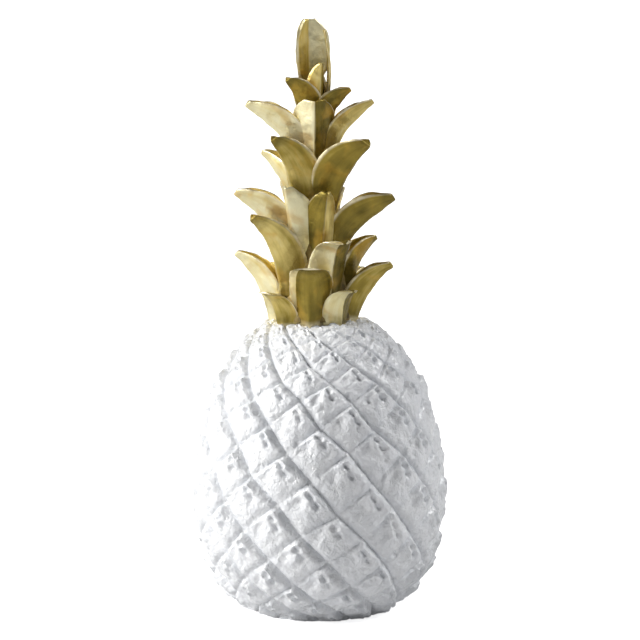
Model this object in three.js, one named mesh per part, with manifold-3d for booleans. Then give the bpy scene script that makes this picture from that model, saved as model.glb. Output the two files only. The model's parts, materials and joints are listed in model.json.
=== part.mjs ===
import * as THREE from "three";
import { mergeVertices } from "three/addons/utils/BufferGeometryUtils.js";
import Module from "manifold-3d";

// Pineapple coin bank: a hollow white fruit with a gilded crown of leaves on its neck,
// a coin slot high in the back and a soft stopper in the base.
// Millimetres, +Z up, front towards -Y. The origin is on the ground, under the fruit's axis.

// Driving sizes of the fruit
const fruitHeight = 117;
const footRadius = 27.4;
const widestRadius = 51;
const neckRadius = 22.2;
const wall = 4.2; // from the grooves to the room for the coins

// Relief of one fruitlet: lifts are measured off the outline, places and the bevel are
// shares of its side, counted from its top corner
const grooveLift = -1.3;
const shoulder = { lift: 0.3, footLift: 1.3, bevel: 0.12 };
const bractTip = { lift: 1.7, place: 0.34 };
const bractHollow = { lift: -0.1, place: 0.23 };

// Spiral lattice of fruitlets: 13 grooves fall to the right and 12 to the left
const rightGrooves = 13;
const leftGrooves = 12;
const rightStep = { turn: 12, drop: 13.1 }; // degrees round and degrees down per fruitlet
const leftStep = {
  turn: (360 - leftGrooves * rightStep.turn) / rightGrooves,
  drop: (rightStep.drop * leftGrooves) / rightGrooves,
};
const latticeStart = { turn: 1.5, climb: 115.4 };

// Base, slot and neck
const floorThickness = 6;
const roofThickness = 5;
const stopperHole = 19;
const stopperRecess = { radius: 23, depth: 2.4 };
const slot = { length: 36, height: 5.4, level: 84, start: 18 };
const socket = { radius: 9, depth: 8 };
const seatGap = 0.3;
const overrun = 5; // how far a cutter passes the face it opens

// Crown of leaves, set a little to the left of the fruit's axis
const crownShift = -2.3;
const stalk = { foot: 16.5, taperTop: 3, tip: 1.5, top: 214, taper: 0.8 };
const leafSeat = 1.6; // the keel's distance from the stalk at the root
const leafThickness = 2.6;
const leafThinning = 0.35; // share of the thickness lost at the tip
const leafRim = 1.5;
const rimSlope = 0.2;
const keelCrease = 0.8; // share of the section that is a straight roof, not an arc
const leafArc = THREE.MathUtils.degToRad(68); // half of the turn of a leaf's section
const keelPull = 0.35; // handle length of the keel's curve, as a share of its span
const leafRings = 6;

const wasm = await Module();
wasm.setup();

// Solids

function solidOf(geometry) {
  const bare = geometry.index ? geometry.toNonIndexed() : geometry.clone();
  bare.deleteAttribute("normal");
  bare.deleteAttribute("uv");
  const merged = mergeVertices(bare, 1e-4);
  return new wasm.Manifold(
    new wasm.Mesh({
      numProp: 3,
      vertProperties: merged.attributes.position.array,
      triVerts: new Uint32Array(merged.index.array),
    }),
  );
}

function meshOf(solid, name, material) {
  const made = solid.getMesh();
  const geometry = new THREE.BufferGeometry();
  geometry.setAttribute("position", new THREE.BufferAttribute(made.vertProperties, 3));
  geometry.setIndex(new THREE.BufferAttribute(made.triVerts, 1));
  geometry.computeVertexNormals();
  const mesh = new THREE.Mesh(geometry, material);
  mesh.name = name;
  return mesh;
}

// A turned solid from [radius, height] points that start and end on the axis, lowest first
function turned(points, sides) {
  const profile = points.map(([radius, height]) => new THREE.Vector2(radius, height));
  return solidOf(new THREE.LatheGeometry(profile, sides).rotateX(Math.PI / 2));
}

// The largest body of a solid, for a leaf that its neighbours have cut through
function mainBody(solid) {
  const bodies = solid.decompose();
  return bodies.reduce((best, next) => (next.volume() > best.volume() ? next : best));
}

// Outline of the fruit at the middle of its relief, as [radius, height] from the ground up
const outline = new THREE.SplineCurve(
  [
    [footRadius, 0],
    [38.9, 8.5],
    [47.5, 24],
    [widestRadius, 48],
    [48.5, 70],
    [41.8, 92],
    [31.8, 108],
    [neckRadius, fruitHeight],
  ].map(([radius, height]) => new THREE.Vector2(radius, height)),
);

// The outline sampled with the climb at each level: the distance up the skin counted in
// radii, as degrees, so that fruitlets shrink with the radius and keep their shape.
const skinTable = (() => {
  const run = 24; // straight run past each end, which the trim takes off
  const samples = 240;
  const points = [new THREE.Vector2(footRadius, -run)];
  points.push(...outline.getPoints(samples));
  points.push(new THREE.Vector2(neckRadius, fruitHeight + run));
  const rows = [];
  let climb = 0;
  points.forEach((point, n) => {
    if (n > 0) {
      const last = points[n - 1];
      const radius = (point.x + last.x) / 2;
      climb += THREE.MathUtils.radToDeg(point.distanceTo(last) / radius);
    }
    rows.push({ radius: point.x, height: point.y, climb });
  });
  const ground = rows[1].climb;
  rows.forEach((row) => (row.climb -= ground));
  return rows;
})();

// A point of the skin: degrees round from the front, climb in degrees, lift off the outline
function skinPoint(turn, climb, lift) {
  const last = skinTable.length - 1;
  let n = skinTable.findIndex((row) => row.climb > climb);
  n = n < 0 ? last : Math.max(n, 1);
  const low = skinTable[n - 1];
  const high = skinTable[n];
  const share = (climb - low.climb) / (high.climb - low.climb);
  const along = new THREE.Vector2(high.radius - low.radius, high.height - low.height).normalize();
  const radius = THREE.MathUtils.lerp(low.radius, high.radius, share) + lift * along.y;
  const height = THREE.MathUtils.lerp(low.height, high.height, share) - lift * along.x;
  const angle = THREE.MathUtils.degToRad(turn);
  return [radius * Math.sin(angle), -radius * Math.cos(angle), height];
}

// A place in the lattice, i steps along a right-falling groove and j along a left-falling one
function latticePlace(i, j) {
  const laps = Math.floor(i / leftGrooves);
  const across = i - laps * leftGrooves;
  const down = j + laps * rightGrooves;
  return {
    key: across + "," + down,
    turn: latticeStart.turn + across * rightStep.turn - down * leftStep.turn,
    climb: latticeStart.climb - across * rightStep.drop - down * leftStep.drop,
  };
}

// One fruitlet: bevels rise from the grooves to its shoulders, and the four facets of its
// bract meet in a proud tip with a hollow behind it.
function fruitletFaces(i, j) {
  const corner = (a, b, lift) => {
    const place = latticePlace(i + a, j + b);
    return skinPoint(place.turn, place.climb, lift);
  };
  const origin = latticePlace(i, j);
  const inside = (a, b, lift) =>
    skinPoint(
      origin.turn + a * rightStep.turn - b * leftStep.turn,
      origin.climb - a * rightStep.drop - b * leftStep.drop,
      lift,
    );
  const { lift, bevel, footLift } = shoulder;
  const grooves = [corner(0, 0, grooveLift), corner(0, 1, grooveLift)];
  grooves.push(corner(1, 1, grooveLift), corner(1, 0, grooveLift));
  const shoulders = [inside(bevel, bevel, lift), inside(bevel, 1 - bevel, lift)];
  shoulders.push(inside(1 - bevel, 1 - bevel, footLift), inside(1 - bevel, bevel, lift));
  const tip = inside(bractTip.place, bractTip.place, bractTip.lift);
  const hollow = inside(bractHollow.place, bractHollow.place, bractHollow.lift);
  const faces = [];
  for (let n = 0; n < 4; n++) {
    const next = (n + 1) % 4;
    faces.push([grooves[n], grooves[next], shoulders[next]]);
    faces.push([grooves[n], shoulders[next], shoulders[n]]);
  }
  const [top, left, foot, right] = shoulders;
  faces.push([left, foot, tip], [foot, right, tip]);
  faces.push([hollow, left, tip], [right, hollow, tip]);
  faces.push([top, left, hollow], [right, top, hollow]);
  return faces;
}

// All the fruitlets, carried past both ends of the fruit and closed there to the axis
function latticeSolid() {
  const margin = 16; // degrees of climb past the ends, taken off by the trim
  const longest = 25; // fruitlets along a left-falling groove, each way, enough for any place
  const apex = 40; // where the closing faces meet the axis, past each end
  const highest = skinTable[skinTable.length - 2].climb;
  const faces = [];
  const edges = new Map();
  for (let i = 0; i < leftGrooves; i++)
    for (let j = -longest; j < longest; j++) {
      const middle = latticePlace(i, j).climb - (rightStep.drop + leftStep.drop) / 2;
      if (middle < -margin || middle > highest + margin) continue;
      faces.push(...fruitletFaces(i, j));
      const loop = [latticePlace(i, j), latticePlace(i, j + 1)];
      loop.push(latticePlace(i + 1, j + 1), latticePlace(i + 1, j));
      loop.forEach((from, n) => {
        const to = loop[(n + 1) % 4];
        const back = to.key + "/" + from.key;
        if (edges.has(back)) edges.delete(back);
        else edges.set(from.key + "/" + to.key, [from, to]);
      });
    }
  for (const [from, to] of edges.values()) {
    const axisPoint = [0, 0, from.climb > highest / 2 ? fruitHeight + apex : -apex];
    const ends = [from, to].map((place) => skinPoint(place.turn, place.climb, grooveLift));
    faces.push([ends[1], ends[0], axisPoint]);
  }
  const geometry = new THREE.BufferGeometry();
  geometry.setAttribute("position", new THREE.Float32BufferAttribute(faces.flat(2), 3));
  return solidOf(geometry);
}

// The room for the coins, one wall inside the grooves, with a rounded floor and roof
function coinRoom() {
  const roof = fruitHeight - socket.depth - roofThickness;
  const inset = wall - grooveLift;
  const levels = [14, 24, 36, 48, 60, 72, 84, 94];
  const radiusAt = (height) => skinTable.find((row) => row.height >= height).radius - inset;
  const points = [
    [0, floorThickness],
    [radiusAt(floorThickness) - 3, floorThickness],
    ...levels.map((height) => [radiusAt(height), height]),
    [radiusAt(94) - 9, roof - 3],
    [14, roof],
    [0, roof],
  ];
  return turned(points, 24);
}

function coinSlot() {
  const half = slot.length / 2 - slot.height / 2;
  const shape = new THREE.Shape();
  shape.absarc(half, 0, slot.height / 2, -Math.PI / 2, Math.PI / 2);
  shape.absarc(-half, 0, slot.height / 2, Math.PI / 2, Math.PI * 1.5);
  const depth = widestRadius;
  const cut = new THREE.ExtrudeGeometry(shape, { depth, bevelEnabled: false, curveSegments: 6 });
  cut.rotateX(Math.PI / 2);
  cut.translate(0, depth + slot.start, slot.level);
  return solidOf(cut);
}

function fruitBody(material) {
  const trim = new THREE.BoxGeometry(3 * widestRadius, 3 * widestRadius, fruitHeight);
  trim.translate(0, 0, fruitHeight / 2);
  const base = turned(
    [
      [0, -overrun],
      [stopperRecess.radius, -overrun],
      [stopperRecess.radius, stopperRecess.depth],
      [stopperHole, stopperRecess.depth],
      [stopperHole, floorThickness + 2],
      [0, floorThickness + 2],
    ],
    32,
  );
  const seat = turned(
    [
      [0, fruitHeight - socket.depth],
      [socket.radius, fruitHeight - socket.depth],
      [socket.radius, fruitHeight + overrun],
      [0, fruitHeight + overrun],
    ],
    20,
  ).translate([crownShift, 0, 0]);
  const solid = latticeSolid()
    .intersect(solidOf(trim))
    .subtract(coinRoom())
    .subtract(base)
    .subtract(coinSlot())
    .subtract(seat);
  return meshOf(solid, "fruit_body", material);
}

// Crown

// Radius of the stalk at a height, tapering from its foot to a blunt top
function stalkRadius(height) {
  const share = Math.max((height - fruitHeight) / (stalk.top - fruitHeight), 0);
  return THREE.MathUtils.lerp(stalk.foot, stalk.taperTop, Math.pow(share, stalk.taper));
}

function stalkSolid(grow) {
  const levels = [fruitHeight + seatGap, 126, 138, 152, 168, 186, 202, stalk.top - 2];
  const spigot = { radius: socket.radius - seatGap, bottom: fruitHeight - socket.depth + seatGap };
  const points = [
    [0, spigot.bottom],
    [spigot.radius, spigot.bottom],
    [spigot.radius, fruitHeight + seatGap],
    ...levels.map((height) => [stalkRadius(height) + grow, height]),
    [stalk.tip + grow, stalk.top + grow],
    [0, stalk.top + grow],
  ];
  return turned(points, 20);
}

// Half width along a leaf as a share of the widest: narrow foot, full middle, blunt tip
function leafSwell(share, { foot = 0.8, fullest = 0.4, blunt = 0.26, round = 2.2 }) {
  if (share < fullest) return foot + (1 - foot) * Math.sin((Math.PI / 2) * (share / fullest));
  const past = (share - fullest) / (1 - fullest);
  return blunt + (1 - blunt) * (1 - Math.pow(past, round));
}

// The keel of a leaf as a curve of [distance from the axis, height]
function leafKeel({ rise, reach, droop = 48, lean = 8, root, rootRadius }) {
  const span = Math.hypot(rise, reach);
  const heading = (degrees, length) => {
    const angle = THREE.MathUtils.degToRad(degrees);
    return new THREE.Vector2(Math.sin(angle), Math.cos(angle)).multiplyScalar(length);
  };
  const foot = new THREE.Vector2(rootRadius, root);
  const tip = new THREE.Vector2(rootRadius + reach, root + rise);
  return new THREE.CubicBezierCurve(
    foot,
    foot.clone().add(heading(lean, span * keelPull)),
    tip.clone().sub(heading(droop, span * keelPull)),
    tip,
  );
}

// A leaf's section as [side, depth] points: the arched outside, then the trough within.
// The solid grown by a gap is the cutter that keeps the next leaves clear of this one.
function leafSection(leaf, share, grow) {
  const { width, cup = 1.3, flat = 0, thick = leafThickness } = leaf;
  const half = (width / 2) * leafSwell(share, leaf);
  const depth = cup * half * (1 - flat * Math.pow(share, 3));
  const blade = thick * (1 - leafThinning * share);
  const rim = Math.min(leafRim, half * 0.45);
  const arched = [-1, -0.5, 0, 0.5, 1].map((v) => {
    const arc = (1 - Math.cos(v * leafArc)) / (1 - Math.cos(leafArc));
    const back = depth * (arc + keelCrease * (Math.abs(v) - arc));
    const side = (half * Math.sin(v * leafArc)) / Math.sin(leafArc);
    return [side + grow * Math.sign(v), back + (Math.abs(v) < 1 ? -grow : grow)];
  });
  const trough = [
    [half - rim - grow, depth - rimSlope + grow],
    [0, blade + grow],
    [rim + grow - half, depth - rimSlope + grow],
  ];
  return [...arched, ...trough];
}

// One leaf in the plane x = 0 of its own frame, facing -Y: a trough that rises from the
// stalk and curls outwards to its tip. The keel is outside, the margins turn inwards.
function leafSolid(leaf, grow) {
  const keel = leafKeel(leaf);
  const sections = [];
  for (let n = 0; n <= leafRings; n++) {
    const share = n / leafRings;
    const at = keel.getPointAt(share);
    const along = keel.getTangentAt(share);
    if (n === 0) at.addScaledVector(along, -grow);
    if (n === leafRings) at.addScaledVector(along, grow);
    const place = ([side, back]) => [side, along.y * back - at.x, at.y + along.x * back];
    sections.push(leafSection(leaf, share, grow).map(place));
  }
  const faces = [];
  const count = sections[0].length;
  for (let n = 0; n < leafRings; n++)
    for (let k = 0; k < count; k++) {
      const next = (k + 1) % count;
      const [a, b] = [sections[n][k], sections[n][next]];
      const [c, d] = [sections[n + 1][next], sections[n + 1][k]];
      faces.push([a, b, c], [a, c, d]);
    }
  const flat = sections[0].map(([side, depth]) => new THREE.Vector2(side, depth));
  const ends = THREE.ShapeUtils.triangulateShape(flat, []);
  for (const [a, b, c] of ends) {
    faces.push([c, b, a].map((k) => sections[0][k]));
    faces.push([a, b, c].map((k) => sections[leafRings][k]));
  }
  const geometry = new THREE.BufferGeometry();
  geometry.setAttribute("position", new THREE.Float32BufferAttribute(faces.flat(2), 3));
  return solidOf(geometry);
}

// Rows of leaves from the neck up. Each row has the height of its roots, and each leaf the
// direction it faces in degrees from the front, its rise, its reach, its width and its curl.
const leafRows = [
  {
    root: 115,
    leaves: [
      { faces: -4, rise: 26, reach: 9, width: 18.5, droop: 80, blunt: 0.5, round: 4, flat: 1 },
      { faces: 38, rise: 15.5, reach: 7, width: 14, droop: 130, cup: 0.9, blunt: 0.4, flat: 0.9 },
      { faces: 84, rise: 24, reach: 14, width: 15 },
      { faces: 130, rise: 20, reach: 9, width: 15 },
      { faces: 172, rise: 24, reach: 10, width: 15 },
      { faces: -140, rise: 21, reach: 12, width: 15 },
      { faces: -95, rise: 28, reach: 14, width: 15 },
      { faces: -52, rise: 15, reach: 7, width: 15, droop: 105, cup: 0.9, blunt: 0.6, flat: 0.9 },
    ],
  },
  {
    root: 127,
    leaves: [
      { faces: -56, rise: 32, reach: 14.5, width: 17 },
      { faces: 26, rise: 23, reach: 11, width: 17, droop: 150, cup: 0.8, blunt: 0.4, flat: 0.8 },
      { faces: 104, rise: 22, reach: 11, width: 14 },
      { faces: 152, rise: 26, reach: 12, width: 16 },
      { faces: -158, rise: 25, reach: 12, width: 16 },
      { faces: -124, rise: 20, reach: 7, width: 14 },
    ],
  },
  {
    root: 143,
    leaves: [
      { faces: -84, rise: 25, reach: 19, width: 18 },
      { faces: -34, rise: 29, reach: 7, width: 15, droop: 16 },
      { faces: 16, rise: 27, reach: 7, width: 15, droop: 16 },
      { faces: 82, rise: 23, reach: 20, width: 18 },
      { faces: 148, rise: 24, reach: 9, width: 16 },
      { faces: -150, rise: 26, reach: 12, width: 16 },
    ],
  },
  {
    root: 160,
    leaves: [
      { faces: -48, rise: 30, reach: 12, width: 18 },
      { faces: 54, rise: 28, reach: 17, width: 18, foot: 0.6, fullest: 0.5, blunt: 0.35 },
      { faces: 122, rise: 24, reach: 10, width: 15 },
      { faces: 182, rise: 26, reach: 10, width: 16 },
      { faces: -112, rise: 23, reach: 12, width: 14 },
    ],
  },
  {
    root: 180,
    leaves: [
      {
        faces: 2,
        rise: 26,
        reach: 7,
        width: 18,
        droop: 14,
        cup: 1.5,
        blunt: 0.45,
        round: 3,
        flat: 0.4,
      },
      { faces: -86, rise: 23, reach: 19, width: 16 },
      { faces: 88, rise: 24, reach: 16, width: 12, lean: 4 },
      { faces: 150, rise: 24, reach: 10, width: 14 },
      { faces: -152, rise: 23, reach: 6, width: 14 },
    ],
  },
  {
    root: 194,
    leaves: [
      { faces: -55, rise: 19, reach: 7, width: 14 },
      { faces: 78, rise: 15, reach: 9, width: 12 },
      { faces: 175, rise: 20, reach: 7, width: 13 },
    ],
  },
  {
    root: 204,
    leaves: [
      { faces: 30, rise: 16, reach: 1, width: 8, droop: 5, lean: 2 },
      {
        faces: -150,
        rise: 33.5,
        reach: -0.5,
        width: 16.5,
        droop: -6,
        lean: 0,
        cup: 0.7,
        foot: 0.4,
        fullest: 0.62,
        blunt: 0.4,
        round: 3,
      },
      {
        faces: 96,
        rise: 29,
        reach: -1,
        width: 8,
        droop: -16,
        lean: 14,
        cup: 0.4,
        thick: 1,
        blunt: 0.35,
      },
    ],
  },
];

function crown(material) {
  const group = new THREE.Group();
  group.position.x = crownShift;
  group.add(meshOf(stalkSolid(0), "crown_stalk", material));
  const deck = new THREE.BoxGeometry(80, 80, 20);
  deck.translate(0, 0, fruitHeight + seatGap - 10);
  let taken = stalkSolid(seatGap).add(solidOf(deck));
  leafRows.forEach(({ root, leaves }, row) =>
    leaves.forEach((leaf, n) => {
      const placed = { ...leaf, root, rootRadius: stalkRadius(root) + leafSeat };
      const turn = [0, 0, leaf.faces];
      const solid = mainBody(leafSolid(placed, 0).rotate(turn).subtract(taken));
      taken = taken.add(leafSolid(placed, seatGap).rotate(turn));
      group.add(meshOf(solid, "leaf_row" + (row + 1) + "_" + (n + 1), material));
    }),
  );
  return group;
}

// Stopper: a soft plug with a flange in the base recess, a barrel with two ribs that grip
// the hole, and a cup inside that lets it give
function stopper(material) {
  const flange = { radius: stopperRecess.radius - 0.6, top: stopperRecess.depth - seatGap };
  const rib = stopperHole - 0.4;
  const barrel = rib - 0.8;
  const cup = barrel - 2.5;
  const body = turned(
    [
      [0, 1.4],
      [12, 1.4],
      [13, 0.6],
      [flange.radius, 0.6],
      [flange.radius, flange.top],
      [barrel, flange.top],
      [barrel, 3.4],
      [rib, 3.8],
      [rib, 4.6],
      [barrel, 5],
      [barrel, 6.4],
      [rib, 6.8],
      [rib, 7.6],
      [barrel - 0.6, 9],
      [cup, 9],
      [cup, 3.6],
      [0, 3.6],
    ],
    24,
  );
  return meshOf(body, "stopper", material);
}

const whitePaint = () => new THREE.MeshStandardMaterial({ color: 0xf1f3f6, roughness: 0.42 });
const goldPaint = () =>
  new THREE.MeshStandardMaterial({ color: 0xc8a24e, roughness: 0.38, metalness: 0.75 });
const softPlug = () => new THREE.MeshStandardMaterial({ color: 0x2a2a2c, roughness: 0.7 });

const coinBank = new THREE.Group();
coinBank.add(fruitBody(whitePaint()));
coinBank.add(crown(goldPaint()));
coinBank.add(stopper(softPlug()));
export default coinBank;
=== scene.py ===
# %% [markdown]
# # A pineapple coin bank in white and gold
# The bank is a hollow cast fruit, painted white, with a crown of curling gold leaves.
# Coins go in through a slot high in the back and come out through the hole in the base,
# which a soft stopper closes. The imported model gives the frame: every place and size here
# is in metres in that frame, and each piece made below lies where its solid lies.

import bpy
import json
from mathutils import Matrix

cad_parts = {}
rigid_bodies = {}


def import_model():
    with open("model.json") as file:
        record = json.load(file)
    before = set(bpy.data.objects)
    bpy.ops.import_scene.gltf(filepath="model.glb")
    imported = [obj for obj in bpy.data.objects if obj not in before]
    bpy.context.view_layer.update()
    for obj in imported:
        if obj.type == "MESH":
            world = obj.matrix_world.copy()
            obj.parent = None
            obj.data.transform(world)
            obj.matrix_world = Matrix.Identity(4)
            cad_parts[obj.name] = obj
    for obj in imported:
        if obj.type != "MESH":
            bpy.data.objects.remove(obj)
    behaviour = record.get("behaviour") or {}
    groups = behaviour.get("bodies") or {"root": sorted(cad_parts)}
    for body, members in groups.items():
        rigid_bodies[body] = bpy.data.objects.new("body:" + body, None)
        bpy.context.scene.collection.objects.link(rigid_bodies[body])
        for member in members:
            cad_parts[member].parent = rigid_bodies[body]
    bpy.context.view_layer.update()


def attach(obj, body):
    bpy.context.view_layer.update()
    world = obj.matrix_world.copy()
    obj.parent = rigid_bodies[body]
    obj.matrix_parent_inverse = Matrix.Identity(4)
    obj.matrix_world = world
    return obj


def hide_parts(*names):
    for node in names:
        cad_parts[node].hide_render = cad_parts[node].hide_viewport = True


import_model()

# %% [markdown]
# ## Small tools
# Blender's operators work on whatever is selected, so each step first selects its own piece
# and nothing else. These few helpers do that, flag vertices by their place, and finish a
# piece's modifiers.

# %% Tools for picking and finishing pieces
import json
import math

import bpy
import numpy as np
from mathutils import Vector

MM = 0.001
chance = np.random.default_rng(12)


def pick(piece):
    """Makes a piece the only selected and the active one."""
    if bpy.context.object and bpy.context.object.mode != "OBJECT":
        bpy.ops.object.mode_set(mode="OBJECT")
    bpy.ops.object.select_all(action="DESELECT")
    piece.select_set(True)
    bpy.context.view_layer.objects.active = piece
    return piece


def flag(piece, test, kind="vertices"):
    """Selects the vertices or faces whose place passes a test, and leaves edit mode on."""
    pick(piece)
    bpy.ops.object.mode_set(mode="EDIT")
    bpy.ops.mesh.select_mode(type="VERT" if kind == "vertices" else "FACE")
    bpy.ops.mesh.select_all(action="DESELECT")
    bpy.ops.object.mode_set(mode="OBJECT")
    count = 0
    for part in getattr(piece.data, kind):
        place = part.co if kind == "vertices" else part.center
        part.select = bool(test(place))
        count += part.select
    bpy.ops.object.mode_set(mode="EDIT")
    return count


def modify(piece, kind, **settings):
    """Adds a modifier with these settings and applies it."""
    pick(piece)
    made = piece.modifiers.new(kind.title(), kind)
    for name, value in settings.items():
        setattr(made, name, value)
    bpy.ops.object.modifier_apply(modifier=made.name)
    return piece


def arrays(piece):
    """The places of a mesh's vertices as an array of rows."""
    places = np.empty(len(piece.data.vertices) * 3, np.float32)
    piece.data.vertices.foreach_get("co", places)
    return places.reshape(-1, 3).astype(float)


def reshape(piece, places):
    """Puts a mesh's vertices at these places."""
    piece.data.vertices.foreach_set("co", np.asarray(places, np.float32).ravel())
    piece.data.update()


def mark(piece, name, values):
    """Stores one number per vertex, for a material to read."""
    layer = piece.data.attributes.get(name) or piece.data.attributes.new(name, "FLOAT", "POINT")
    layer.data.foreach_set("value", np.asarray(values, np.float32))


def new_piece(name, places, faces):
    """A mesh object from rows of places and faces."""
    mesh = bpy.data.meshes.new(name)
    mesh.from_pydata([tuple(row) for row in places], [], [tuple(face) for face in faces])
    made = bpy.data.objects.new(name, mesh)
    bpy.context.scene.collection.objects.link(made)
    return made


def smooth(piece, degrees=40):
    """Smooth shading with the sharp edges kept."""
    pick(piece)
    bpy.ops.object.shade_smooth_by_angle(angle=math.radians(degrees))
    return piece


print("tools ready")

# %% [markdown]
# ## Camera
# A small ornament is photographed from well back with a long lens, a little above its
# middle, so its sides look almost parallel. A 200 mm lens at 1.42 m and 8 degrees above the
# level gives the same gentle look down on the shoulders of the fruit.

# %% Camera
VIEW_TILT = math.radians(8)
VIEW_DISTANCE = 1.422
VIEW_AIM = Vector((0.3 * MM, 0, 117.1 * MM))

backwards = Vector((0, -math.cos(VIEW_TILT), math.sin(VIEW_TILT)))
camera = bpy.data.objects.new("camera", bpy.data.cameras.new("camera"))
camera.data.lens, camera.data.sensor_width = 200, 36
camera.location = VIEW_AIM + VIEW_DISTANCE * backwards
camera.rotation_euler = backwards.to_track_quat("Z", "Y").to_euler()
bpy.context.scene.collection.objects.link(camera)
bpy.context.scene.camera = camera
print("camera at", [round(v, 3) for v in camera.location])

# %% [markdown]
# ## Light
# The left of the fruit is nearly pure white and its right side falls to a cool grey. Area
# lights could do this, but their strength changes with distance, so two distant suns are
# used. The strong one is broad and soft and stands on the left, a little in front and above,
# like a window. The weak one is the light that a pale wall on the right gives back: it keeps
# the right edges of the leaves readable. Only a faint pale surrounding fills the rest.

# %% Soft studio light
scene = bpy.context.scene
scene.view_settings.view_transform = "Standard"


def sun(name, strength, softness, source, colour=(1, 1, 1)):
    """A distant light shining from this side; its softness is its width in degrees."""
    light = bpy.data.objects.new(name, bpy.data.lights.new(name, "SUN"))
    light.data.energy = strength
    light.data.angle = math.radians(softness)
    light.data.color = colour
    light.rotation_euler = Vector(source).to_track_quat("Z", "Y").to_euler()
    scene.collection.objects.link(light)


sun("window_daylight", 4.1, 42, (-0.88, -0.15, 0.46), (1, 0.99, 0.97))
sun("wall_bounce", 1.8, 22, (0.86, 0.1, 0.7))

surroundings = bpy.data.worlds.new("pale surroundings")
surroundings.use_nodes = True
scene.world = surroundings
sky = surroundings.node_tree.nodes["Background"]
sky.inputs["Color"].default_value = (0.93, 0.96, 1, 1)
sky.inputs["Strength"].default_value = 0.07

# %% [markdown]
# ## The fruit's outline and its spiral lattice
# A pineapple's fruitlets sit on crossing spirals. On this one 13 grooves fall to the right
# and 12 to the left. A place on the skin is given by degrees round from the front and by
# climb: the distance up the skin counted in radii. Both the solid and this piece use the
# same outline and the same two steps, so the fruitlets fall on each other exactly.

# %% Outline and lattice
FRUIT_HEIGHT = 117.0
OUTLINE = np.array(
    [
        (27.4, 0), (38.9, 8.5), (47.5, 24), (51, 48),
        (48.5, 70), (41.8, 92), (31.8, 108), (22.2, FRUIT_HEIGHT),
    ]
)
NECK = np.array([(20.2, 117.9), (17.2, 118.3), (12, 118.5), (4, 118.5)])
RUN_PAST = 24.0
RIGHT_GROOVES, LEFT_GROOVES = 13, 12
RIGHT_TURN, RIGHT_DROP = 12.0, 13.1
LEFT_TURN = (360 - LEFT_GROOVES * RIGHT_TURN) / RIGHT_GROOVES
LEFT_DROP = RIGHT_DROP * LEFT_GROOVES / RIGHT_GROOVES
START_TURN, START_CLIMB = 1.5, 115.4
LINE_STEPS = 240


def smooth_line(points, samples):
    """A Catmull-Rom curve through the points."""
    made = []
    last = len(points) - 1
    for step in range(samples + 1):
        along = step / samples * last
        n = min(int(along), last - 1)
        t = along - n
        before, start = points[max(n - 1, 0)], points[n]
        end, after = points[n + 1], points[min(n + 2, last)]
        lean_in, lean_out = (end - before) / 2, (after - start) / 2
        made.append(
            (2 * start - 2 * end + lean_in + lean_out) * t**3
            + (-3 * start + 3 * end - 2 * lean_in - lean_out) * t**2
            + lean_in * t
            + start
        )
    return np.array(made)


line = smooth_line(OUTLINE, LINE_STEPS)
line = np.vstack([(line[0][0], -RUN_PAST), line, NECK])
pieces_of_line = np.diff(line, axis=0)
middle_radius = (line[1:, 0] + line[:-1, 0]) / 2
climbs = np.append(0, np.cumsum(np.degrees(np.hypot(*pieces_of_line.T) / middle_radius)))
climbs -= climbs[1]
upwards = np.gradient(line, climbs, axis=0)
upwards /= np.linalg.norm(upwards, axis=1)[:, None]


def skin_place(turn, climb, lift):
    """Places on the skin in metres, from degrees round, climb and lift in millimetres."""
    radius, height, up_radius, up_height = (
        np.interp(climb, climbs, row) for row in (*line.T, *upwards.T)
    )
    radius = radius + lift * up_height
    height = height - lift * up_radius
    angle = np.radians(turn)
    return MM * np.column_stack([radius * np.sin(angle), -radius * np.cos(angle), height])


def lattice_turn(across, down):
    """Degrees round at a place counted in fruitlets along the two spirals."""
    return START_TURN + across * RIGHT_TURN - down * LEFT_TURN


def lattice_climb(across, down):
    """Climb at a place counted in fruitlets along the two spirals."""
    return START_CLIMB - across * RIGHT_DROP - down * LEFT_DROP


NECK_CLIMB = climbs[-1 - len(NECK)]
print("climb from the ground to the neck:", round(NECK_CLIMB, 1), "degrees")

# %% [markdown]
# ## One fruitlet
# Each fruitlet is a soft diamond pillow between four grooves, and the two that fall to the
# right are the deeper ones. A small leaf-like bract is folded over its middle: a crest runs
# from the bract's tip down to the lower corner, two arms of the rim spread from the tip, the
# skin drops into a hollow on the left, and a slit opens under the right arm. A height map
# could draw this, but it would stay flat at the edge of the fruit. So it is modelled once
# and flat, on a grid, by pulling vertices up and down with proportional editing, the way a
# sculptor presses and pinches wet clay. The border gets its depth first and is then hidden,
# so it stays still and every copy meets its neighbours in the groove.

# %% The fruitlet's pillow
SIDE = 13.5 * MM
BORDER = 0.01

bpy.ops.mesh.primitive_grid_add(x_subdivisions=10, y_subdivisions=10, size=SIDE)
fruitlet = bpy.context.object
fruitlet.name = "fruitlet"
fruitlet.location = (SIDE / 2, SIDE / 2, 0)
bpy.ops.object.transform_apply(location=True, rotation=True, scale=True)


def off_border(place):
    """Distance of a place from the fruitlet's border, as a share of its side."""
    return min(place.x, place.y, SIDE - place.x, SIDE - place.y) / SIDE


def grab(spots, lift, reach, falloff="SMOOTH"):
    """Pulls the vertices at the spots by a lift, and what is within reach of them."""
    near = 0.6 * SIDE / (len(fruitlet.data.vertices) ** 0.5 - 1)
    flag(
        fruitlet,
        lambda place: off_border(place) > BORDER
        and any((place.xy - SIDE * Vector(spot)).length < near for spot in spots),
    )
    bpy.ops.object.mode_set(mode="OBJECT")
    for vertex in fruitlet.data.vertices:
        vertex.hide = off_border(vertex.co) < BORDER
    bpy.ops.object.mode_set(mode="EDIT")
    bpy.ops.transform.translate(
        value=(0, 0, lift * MM),
        use_proportional_edit=True,
        proportional_edit_falloff=falloff,
        proportional_size=reach * SIDE,
    )
    bpy.ops.mesh.reveal(select=False)
    bpy.ops.object.mode_set(mode="OBJECT")


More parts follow.
